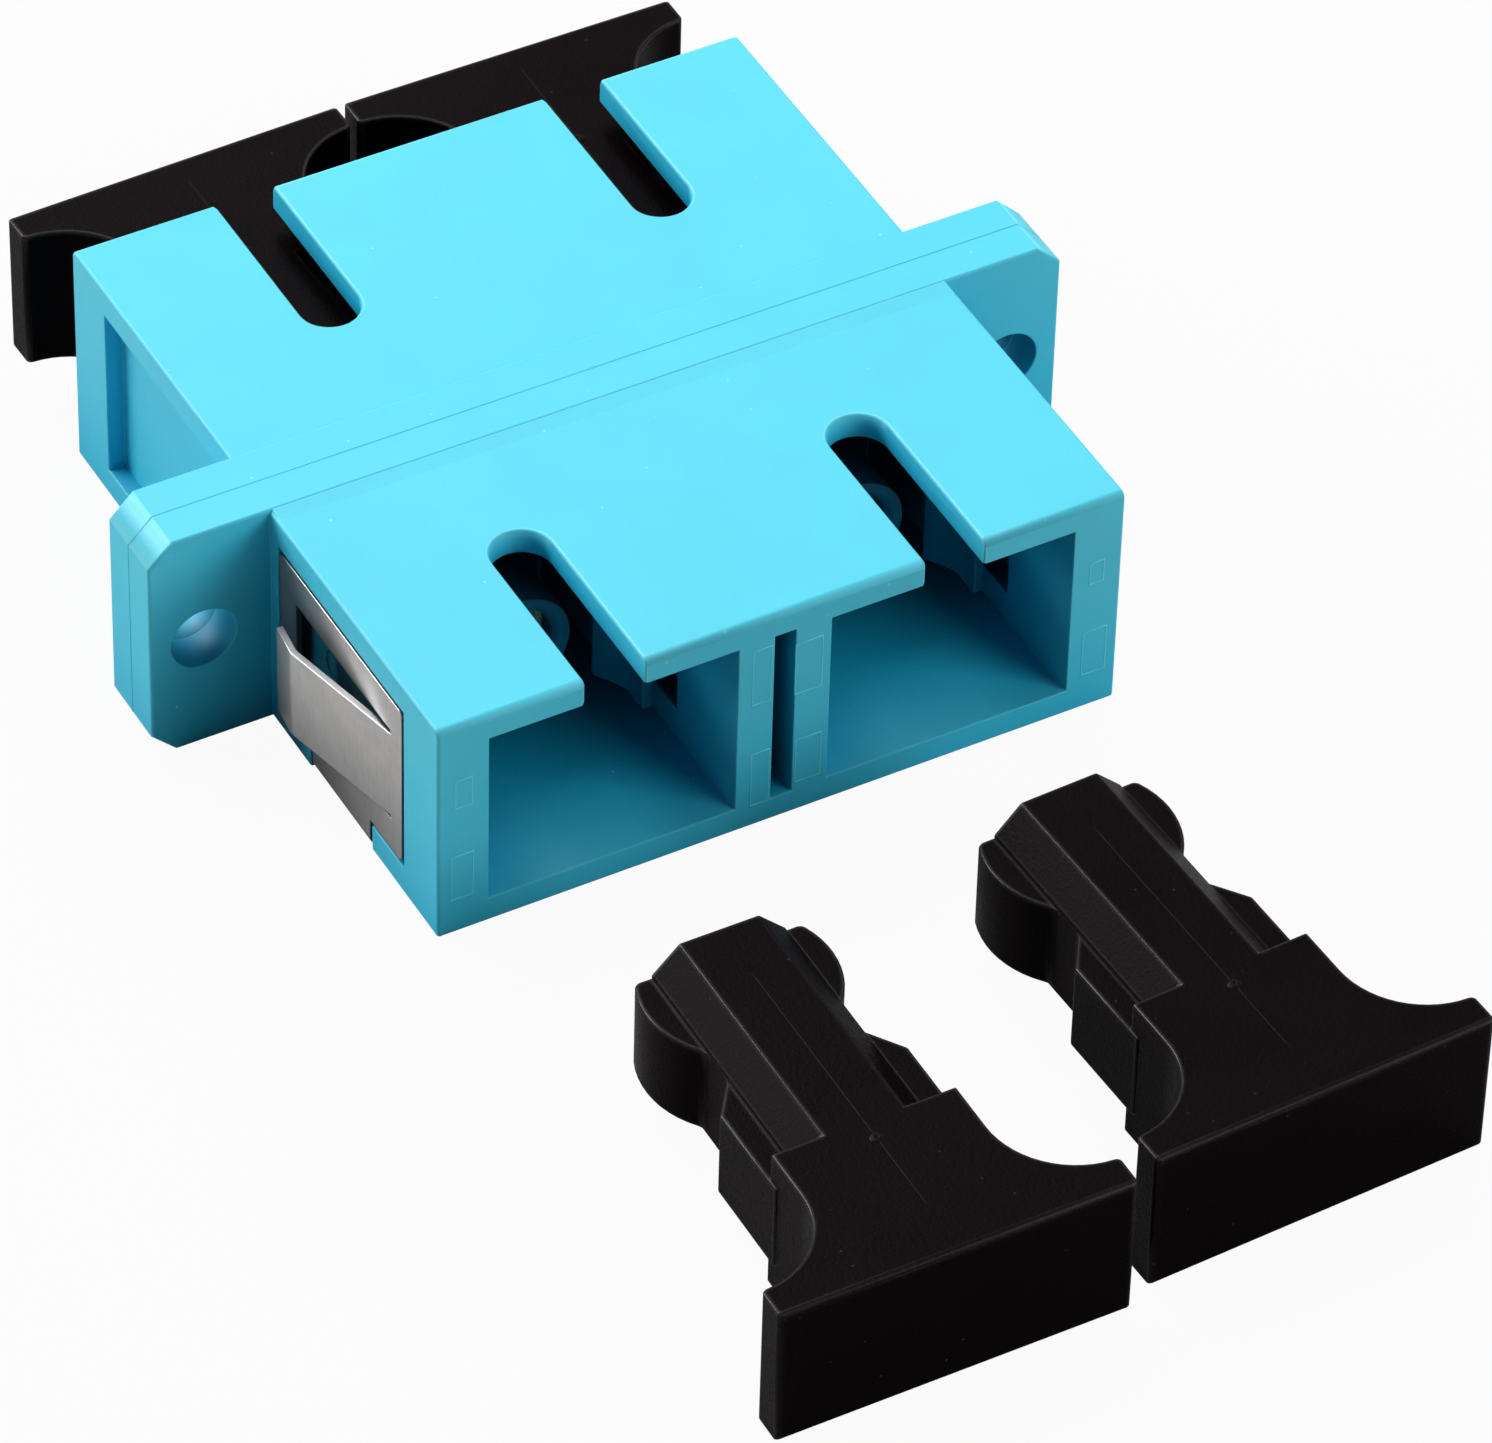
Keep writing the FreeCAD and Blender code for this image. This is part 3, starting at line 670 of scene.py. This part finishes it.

# %% [markdown]
# ## Black plug plastic
#
# The dust plugs are soft black polyethylene, dark and faintly warm, with a satin skin. Nearly all
# that is seen of it is sheen: the flats stay almost black and the slanted strips beside them catch
# a lamp, where the grain breaks the light up into sparkles. So the grain is coarser here and the
# specks are greyer. The edges, which fingers have polished, get a coat, so that they catch the
# light as a thin line, and their colour is drawn paler as well, which is a painted highlight. The
# fine marks on the plugs are too low to be polished and get hardly any of either.

# %% Finish of the dust plugs
PLUG_GRAIN = {"Grain_Size": 0.12 * MM, "Grain_Depth": 0.014 * MM}
PLUG_SPECKS = {"Cell_Size": 0.6 * MM, "Share_of_Cells": 0.2, "Radius": 0.1}
WIDE_EDGE = {"Least": 0.994, "Full": 0.96}
PLUG_BLACKS = (0.0021, 0.0007, 0.0009), (0.0033, 0.0013, 0.0016)
PLUG_EDGE_HIGHLIGHT = (0.016, 0.013, 0.014)
PLUG_SPECK = (0.07, 0.06, 0.055)
COAT_ON_EDGES = 0.4


def plug_plastic(name, edge_highlight_share):
    """Black plastic whose edges get a coat and a painted highlight by a share from 0 to 1."""
    material, tree = new_material(name)
    place = place_on_object(tree)
    skin = use_group(tree, MOULDED_SKIN, Place=place, **PLUG_GRAIN)
    specks = use_group(tree, SPECKS, Place=place, **PLUG_SPECKS)
    edge = use_group(tree, PAINTED_EDGE_HIGHLIGHT, Radius=0.20 * MM, **WIDE_EDGE)
    edge_highlight = calculate(tree, "MULTIPLY", edge["Mask"], edge_highlight_share)
    tone = blend_colour(tree, skin["Broad"], *PLUG_BLACKS)
    # Painted highlight: edges take a paler black.
    tone = blend_colour(tree, edge_highlight, tone, PLUG_EDGE_HIGHLIGHT, most=0.5)
    tone = blend_colour(tree, specks["Mask"], tone, PLUG_SPECK, most=0.4)
    gloss = remap(tree, skin["Fine"], 0.0, 1.0, to_low=0.24, to_high=0.36)
    coat = calculate(tree, "MULTIPLY", edge_highlight, COAT_ON_EDGES)
    show(tree, add_node(tree, "ShaderNodeBsdfPrincipled",
                        {"Base Color": tone, "Roughness": gloss, "Specular IOR Level": 0.021,
                         "Specular Tint": (0.96, 0.90, 1.0, 1), "Coat Weight": coat,
                         "Coat Roughness": 0.3, "Normal": skin["Normal"]}))
    return material


plug_finish = plug_plastic("black_plug_plastic", edge_highlight_share=1.0)
plug_marks_finish = plug_plastic("black_plug_marks", edge_highlight_share=0.15)
print("finishes:", plug_finish.name, plug_marks_finish.name)

# %% [markdown]
# ## Spring steel
#
# The clip is stainless strip, rolled and then stamped. Rolling leaves fine lines
# along the strip, here stretched noise whose long axis is the rolling direction.
# The strip ran round the body, so on the legs the lines stand upright. Slow noise over it gives the
# cloudy patches of a sheet that has been handled. The sheared edges are duller than the faces. The
# rims are drawn paler, which is a painted highlight, and the corners, behind and below the tongue,
# are drawn dark grey, which is painted shade.

# %% Finish of the panel clip
LINES_PER_MM = 14
LINE_STRETCH = (0.6, 1.0, 0.06)
LINE_DEPTH = 0.003 * MM
CLOUDS_PER_MM = 0.7
CLOUD_RANGE = (0.32, 0.68)
SHEARED_FACING = (0.5, 0.2)
PAINTED_SHADE_GAIN = 1.8
STEEL_CLOUDS = (0.62, 0.595, 0.580), (0.76, 0.735, 0.715)
STEEL_LINE = (0.50, 0.485, 0.475)
STEEL_EDGE_HIGHLIGHT = (0.70, 0.69, 0.68)
STEEL_SHEARED = (0.30, 0.29, 0.285)
STEEL_PAINTED_SHADE = (0.10, 0.105, 0.115)


def rolled_lines_group():
    """Rolling lines as a bent normal, and a share from 0 to 1 for lines and for clouds."""
    group, given, result = new_group("rolled_lines", [("Place", "Vector")],
                                     [("Normal", "Vector"), ("Lines", "Float"),
                                      ("Clouds", "Float")])
    stretched = add_node(group, "ShaderNodeMapping", {"Vector": given["Place"],
                                                      "Scale": LINE_STRETCH}).outputs[0]
    lines = noise(group, stretched, LINES_PER_MM / MM, detail=3.0, roughness=0.65)
    clouds = noise(group, given["Place"], CLOUDS_PER_MM / MM, detail=3.0, roughness=0.55)
    group.links.new(bump(group, lines, LINE_DEPTH), result["Normal"])
    group.links.new(remap(group, lines, *NOISE_RANGE), result["Lines"])
    group.links.new(remap(group, clouds, *CLOUD_RANGE), result["Clouds"])
    return group


def spring_steel():
    """Rolled sheet with clouds, painted bright rims, dull sheared edges and painted shade in the
    corners.
    """
    material, tree = new_material("rolled_spring_steel")
    place = place_on_object(tree)
    rolled = use_group(tree, rolled_lines_group(), Place=place)
    recess_shade_mask = use_group(tree, RECESS_SHADE, Reach=6 * MM)
    edge = use_group(tree, PAINTED_EDGE_HIGHLIGHT, Radius=0.05 * MM, **FINE_EDGE)
    tone = blend_colour(tree, rolled["Clouds"], *STEEL_CLOUDS)
    tone = blend_colour(tree, rolled["Lines"], tone, STEEL_LINE, most=0.4)
    # Painted highlight: rims take a paler steel.
    tone = blend_colour(tree, edge["Mask"], tone, STEEL_EDGE_HIGHLIGHT, most=0.5)
    normal = add_node(tree, "ShaderNodeTexCoord").outputs["Normal"]
    facing = add_node(tree, "ShaderNodeSeparateXYZ", {0: normal}).outputs["X"]
    sheared = remap(tree, calculate(tree, "ABSOLUTE", facing), *SHEARED_FACING)
    tone = blend_colour(tree, sheared, tone, STEEL_SHEARED)
    # Painted shade: corners, behind and below the tongue, take a dark grey.
    painted_shade_share = calculate(tree, "MULTIPLY", recess_shade_mask["Shut In"], PAINTED_SHADE_GAIN, clamp=True)
    tone = blend_colour(tree, painted_shade_share, tone, STEEL_PAINTED_SHADE)
    gloss = remap(tree, rolled["Clouds"], 0.0, 1.0, to_low=0.42, to_high=0.32)
    show(tree, add_node(tree, "ShaderNodeBsdfPrincipled",
                        {"Base Color": tone, "Metallic": 0.7, "Roughness": gloss,
                         "Normal": rolled["Normal"]}))
    return material


steel_finish = spring_steel()
print("finish:", steel_finish.name)

# %% [markdown]
# ## Zirconia
#
# The split sleeves are fired and polished zirconia, a dense cream ceramic that is
# glossier than any plastic here. Only the end of each one shows, deep in its barrel.
# The blend of two creams stands for the faint unevenness of the fired body.

# %% Finish of the split sleeves
CERAMIC_GRAIN = {"Grain_Size": 0.2 * MM, "Grain_Depth": 0.0005 * MM}
CREAMS = (0.55, 0.52, 0.45), (0.66, 0.63, 0.56)


def zirconia():
    """Polished ceramic in two creams."""
    material, tree = new_material("polished_zirconia")
    skin = use_group(tree, MOULDED_SKIN, Place=place_on_object(tree), **CERAMIC_GRAIN)
    tone = blend_colour(tree, skin["Broad"], *CREAMS)
    gloss = remap(tree, skin["Fine"], 0.0, 1.0, to_low=0.14, to_high=0.24)
    show(tree, add_node(tree, "ShaderNodeBsdfPrincipled",
                        {"Base Color": tone, "Roughness": gloss, "Normal": skin["Normal"]}))
    return material


sleeve_finish = zirconia()
print("finish:", sleeve_finish.name)

# %% [markdown]
# ## Dressing the solids
#
# Each solid came with a plain stand-in material. A material slot can be given a new
# material without touching the mesh, so one table from the beginning of a node's
# name to its finish dresses them all.

# %% Give each solid its finish
FINISHES = {"front_housing": housing_finish, "rear_housing": housing_finish,
            "latch_insert": insert_painted_shade_finish, "split_sleeve": sleeve_finish,
            "panel_clip": steel_finish, "dust_plug": plug_finish}
for node_name, piece in nodes.items():
    for slot in piece.material_slots:
        slot.material = for_node(FINISHES, node_name)
print("dressed", len(nodes), "solids")

# %% [markdown]
# ## Carrying a profile along a path
#
# The fine marks that follow are ridges, a thin wedge and small domes: each is a
# small cross-section carried along a line or round a ring. One function does that
# for all of them. It takes the line's points, and at each point the directions that
# count as sideways and outwards, and sets the whole grid of points at once.

# %% Ridges by numpy
CROWN_STEPS = 6


def ridge_profile(width, height):
    """Closed cross-section of a low ridge: a half ellipse over the surface, and a sunken foot.

    Point k of the crown is (-cos(a) * width / 2, sin(a) * height) for a from 0 to pi.
    """
    angle = np.linspace(0.0, np.pi, CROWN_STEPS)
    crown = np.column_stack([-np.cos(angle) * width / 2, np.sin(angle) * height])
    foot = np.array([[width / 2, -height], [-width / 2, -height]])
    return np.vstack([crown, foot])


def carry(profile, path, sideways, outwards, closed):
    """Points in metres and faces of a profile carried along a path, both in millimetres.

    The point of row i and column j is path[i] + profile[j, 0] * sideways[i]
    + profile[j, 1] * outwards[i]. A direction that is given once holds for every row.
    A closed path joins its last row to its first; an open one gets a face at each end.
    """
    rows, columns = len(path), len(profile)
    sideways = np.broadcast_to(sideways, (rows, 3))
    outwards = np.broadcast_to(outwards, (rows, 3))
    profile, path = profile * MM, path * MM
    points = (path[:, None, :] + profile[None, :, 0, None] * sideways[:, None, :]
              + profile[None, :, 1, None] * outwards[:, None, :]).reshape(-1, 3)
    row = np.arange(rows if closed else rows - 1)[:, None]
    column = np.arange(columns)[None, :]
    following = (row + 1) % rows
    beside = (column + 1) % columns
    faces = np.stack([row * columns + column, following * columns + column,
                      following * columns + beside, row * columns + beside], axis=-1)
    faces = faces.reshape(-1, 4).tolist()
    if not closed:
        faces += [list(range(columns)), list(range((rows - 1) * columns, rows * columns))[::-1]]
    return points, faces


FORWARDS = np.array([0.0, -1.0, 0.0])
BACKWARDS = np.array([0.0, 1.0, 0.0])
UPWARDS = np.array([0.0, 0.0, 1.0])
print("crown of a ridge 2 wide and 1 high:", ridge_profile(2, 1)[:CROWN_STEPS].round(2).tolist())

# %% [markdown]
# ## From points to a piece
#
# A piece can hold several marks that belong to one solid. Before they are joined,
# each one's enclosed volume is worked out: if it comes out negative, its faces look
# inwards and are turned round, so that light and shadow fall on the right side.

# %% Pieces that ride on a body
def enclosed_volume(points, faces):
    """Volume inside closed faces: the sum over fans of triangles of a . (b x c) / 6."""
    fans = np.array([(face[0], face[k], face[k + 1])
                     for face in faces for k in range(1, len(face) - 1)])
    a, b, c = (points[fans[:, k]] for k in range(3))
    return float(np.einsum("ij,ij->i", a, np.cross(b, c)).sum() / 6)


def make_piece(name, parts, finish, body):
    """One piece from several (points, faces) parts, each turned so that it looks outwards."""
    all_points, all_faces, start = [], [], 0
    for points, faces in parts:
        if enclosed_volume(points, faces) < 0:
            faces = [face[::-1] for face in faces]
        all_points.append(points)
        all_faces += [[index + start for index in face] for face in faces]
        start += len(points)
    mesh = bpy.data.meshes.new(name)
    mesh.from_pydata(np.vstack(all_points).tolist(), [], all_faces)
    mesh.shade_smooth()
    mesh.materials.append(finish)
    piece = bpy.data.objects.new(name, mesh)
    scene.collection.objects.link(piece)
    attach(piece, body)
    print(name, "has", len(all_faces), "faces")
    return piece

# %% [markdown]
# ## Marks of the ejector blades
#
# Thin blades push the housing off its core, and each leaves a faint raised outline
# on the end faces: two above and two below on the wall between the ports, and two on
# each outer wall. They are rectangles, so the path has four corners and the
# sideways direction at each corner points along its diagonal.

# %% Ejector marks on both end faces
front_low, front_high = (Vector(corner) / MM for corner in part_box("front_housing"))
# X and Z in mm of two opposite corners of each mark.
EJECTOR_MARKS = {
    "web_left_upper": (-1.21, 5.49, -0.52, 7.9),
    "web_right_upper": (0.40, 5.33, 1.40, 7.56),
    "web_left_lower": (-1.18, 0.94, -0.50, 3.27),
    "web_right_lower": (0.50, 1.32, 1.45, 3.22),
    "right_wall_upper": (11.62, 5.58, 12.15, 6.52),
    "right_wall_lower": (11.50, 1.51, 12.40, 3.43),
    "left_wall_upper": (-12.20, 5.58, -11.60, 6.80),
    "left_wall_lower": (-12.35, 1.51, -11.55, 3.43)}
MARK_PROFILE = ridge_profile(width=0.055, height=0.018)
END_FACES = (1.0, -1.0)
# The marks are drawn in a paler aqua than the housing: a painted highlight on the ridges.
marks_highlight_finish = aqua_plastic("aqua_marks_painted_highlight", colour=(0.10, 0.74, 0.90), edge=(0.22, 0.84, 0.95),
                           speck=(0.55, 0.92, 0.98), recess_shade=(0.05, 0.60, 0.80), roughness=0.45)


def mark_outline(x0, z0, x1, z1, turn):
    """Rectangular ridge on an end face; turn is 1 for the front face and -1 for the rear one."""
    face = front_low.y
    path = np.array([[x0, face, z0], [x1, face, z0], [x1, face, z1], [x0, face, z1]])
    diagonals = np.array([[-1, 0, -1], [1, 0, -1], [1, 0, 1], [-1, 0, 1]], float)
    spin = np.array([turn, turn, 1.0])
    return carry(MARK_PROFILE, path * spin, diagonals * spin, FORWARDS * spin, closed=True)


make_piece("ejector_marks",
           [mark_outline(*sides, turn) for sides in EJECTOR_MARKS.values() for turn in END_FACES],
           marks_highlight_finish, "adapter")

# %% [markdown]
# ## The weld line
#
# The two halves are welded back to back in the middle of the flange. The line shows
# all round it as a fine dark seam, where a little melt came out. It is one ridge
# carried round the flange's eight-sided outline.

# %% Weld line round the flange
WELD_PROFILE = ridge_profile(width=0.05, height=0.012)
FLANGE_CORNER = 0.9
weld_finish = aqua_plastic("aqua_weld_line", colour=(0.04, 0.48, 0.62), edge=(0.05, 0.54, 0.68),
                           speck=(0.1, 0.6, 0.7), recess_shade=(0.01, 0.40, 0.55), roughness=0.6)


def octagon(low, high, cut):
    """Corners in X and Z of a rectangle with cut corners, and the mitre direction at each."""
    x0, x1, z0, z1 = low.x, high.x, 0.0, high.z
    corners = np.array([[x0 + cut, z0], [x1 - cut, z0], [x1, z0 + cut], [x1, z1 - cut],
                        [x1 - cut, z1], [x0 + cut, z1], [x0, z1 - cut], [x0, z0 + cut]])
    along = np.roll(corners, -1, axis=0) - corners
    side = np.column_stack([along[:, 1], -along[:, 0]]) / np.linalg.norm(along, axis=1)[:, None]
    mitre = side + np.roll(side, 1, axis=0)
    mitre /= (mitre * side).sum(axis=1)[:, None]
    return corners, mitre


def upright_plane(flat):
    """Rows of (x, z) as rows of (x, 0, z)."""
    return np.column_stack([flat[:, 0], np.zeros(len(flat)), flat[:, 1]])


ring, mitre = (upright_plane(rows) for rows in octagon(front_low, front_high, FLANGE_CORNER))
make_piece("weld_line", [carry(WELD_PROFILE, ring, BACKWARDS, mitre, closed=True)],
           weld_finish, "adapter")

# %% [markdown]
# ## The melt beside the flange
#
# The flange stands a hair proud of the body's top. Where its front face meets that
# top, melt from the weld ran out and froze as a long flat slope, so that only a
# faint line is left of the step. The slope is one thin wedge along the X axis.

# %% Slope in front of the flange
FLANGE_LAYER = 1.5
FLANGE_PROUD = 0.08
STEP_LEFT = 0.025
SLOPE_REACH = 0.6
SLOPE_SUNK = 0.05
SLOPE_TIP_SUNK = 0.002
SLOPE_HALF_WIDTH = 12.75


def flange_slope():
    """Wedge whose upper side falls from the flange to the body's top, with its foot inside both."""
    body_top = front_high.z - FLANGE_PROUD
    wedge = np.array([[-SLOPE_SUNK, FLANGE_PROUD - STEP_LEFT], [-SLOPE_SUNK, -SLOPE_SUNK],
                      [SLOPE_REACH, -SLOPE_SUNK], [SLOPE_REACH, -SLOPE_TIP_SUNK]])
    path = np.array([[-SLOPE_HALF_WIDTH, -FLANGE_LAYER, body_top],
                     [SLOPE_HALF_WIDTH, -FLANGE_LAYER, body_top]])
    return carry(wedge, path, FORWARDS, UPWARDS, closed=False)


slope = make_piece("flange_melt_slope", [flange_slope()], housing_finish,
                   "adapter")
slope.data.shade_flat()

# %% [markdown]
# ## Where each plug lies
#
# The plugs carry marks too, and each plug lies at its own angle. Where it lies is
# read from its own mesh: its grip face is its largest upright flat, and that face's
# middle and direction are the frame in which both marks are placed.

# %% Find the grip face of a plug
UPRIGHT_WITHIN = 0.01
SAME_FLAT_DECIMALS = 2


def read_rows(items, attribute, width):
    """An attribute of all the items of a mesh, as rows of that many numbers."""
    values = np.empty(len(items) * width)
    items.foreach_get(attribute, values)
    return values.reshape(-1, width)


def grip_face(piece):
    """Middle of the grip face in millimetres, the direction into the plug, and the plug's length.

    Flats are told apart by normal and offset, and the grip face has the largest sum of areas.
    """
    faces = piece.data.polygons
    normals = read_rows(faces, "normal", 3)
    centres = read_rows(faces, "center", 3) / MM
    areas = read_rows(faces, "area", 1)[:, 0]
    upright = np.abs(normals[:, 2]) < UPRIGHT_WITHIN
    offset = (normals * centres).sum(axis=1)
    keys = np.round(np.column_stack([normals, offset]), SAME_FLAT_DECIMALS)
    member = np.unique(keys[upright], axis=0, return_inverse=True)[1].ravel()
    totals = np.bincount(member, weights=areas[upright])
    outward = normals[upright][member == totals.argmax()].mean(axis=0)
    outward[2] = 0
    outward /= np.linalg.norm(outward)
    places = read_rows(piece.data.vertices, "co", 3) / MM
    depth = places @ -outward
    side = np.array([-outward[1], outward[0], 0.0])
    across = places @ side
    front = depth.min()
    middle = -outward * front + side * (across.min() + across.max()) / 2
    middle[2] = places[:, 2].max()
    return middle, -outward, depth.max() - front


GRIP_FACES = {node_name: grip_face(piece) for node_name, piece in nodes.items()
              if node_name.startswith("dust_plug")}
print("plug lengths in mm:", {node_name: round(float(found[2]), 2)
                              for node_name, found in GRIP_FACES.items()})

# %% [markdown]
# ## Parting line and gate of each plug
#
# A plug comes from a two-part mould and is filled through a small gate on its flat
# side. The parting line runs down the middle, and the gate leaves a pip where the
# sprue broke off. Both lie on the plug's upper flat, the line along the direction
# into the plug and the pip on it.

# %% Marks on the dust plugs
PARTING_START = 1.3
PARTING_END_GAP = 1.6
PARTING_STEPS = 12
PARTING_PROFILE = ridge_profile(width=0.05, height=0.005)
GATE_DISTANCE = 5.5
GATE_RADIUS = 0.26
GATE_HEIGHT = 0.045
GATE_STEPS = 20
# Each ring of the pip as shares of its radius and of its height.
GATE_RINGS = np.array([[0.12, 1.0], [0.45, 0.80], [0.75, 0.44],
                       [1.0, 0.0], [1.0, -0.5], [0.12, -0.5]])


def parting_line(middle, inwards, length):
    """Ridge down the middle of the plug's upper flat."""
    reach = np.linspace(PARTING_START, length - PARTING_END_GAP, PARTING_STEPS)
    side = np.array([-inwards[1], inwards[0], 0.0])
    return carry(PARTING_PROFILE, middle + reach[:, None] * inwards, side, UPWARDS, closed=False)


def gate_pip(middle, inwards):
    """Low dome with a pinhole and a sunken rim: at radius r it is h * (1 - (r / R) ** 2) high."""
    turn = np.linspace(0, 2 * np.pi, GATE_STEPS, endpoint=False)
    radial = np.column_stack([np.cos(turn), np.sin(turn), np.zeros(GATE_STEPS)])
    centre = np.tile(middle + GATE_DISTANCE * inwards, (GATE_STEPS, 1))
    return carry(GATE_RINGS * [GATE_RADIUS, GATE_HEIGHT], centre, radial, UPWARDS, closed=True)


BODY_OF = {"dust_plug_rear_left": "rear_plug_left", "dust_plug_rear_right": "rear_plug_right",
           "dust_plug_loose_left": "adapter", "dust_plug_loose_right": "adapter"}
for node_name, body in BODY_OF.items():
    middle, inwards, length = GRIP_FACES[node_name]
    make_piece(node_name.replace("dust_plug", "plug_marks"),
               [parting_line(middle, inwards, length), gate_pip(middle, inwards)],
               plug_marks_finish, body)
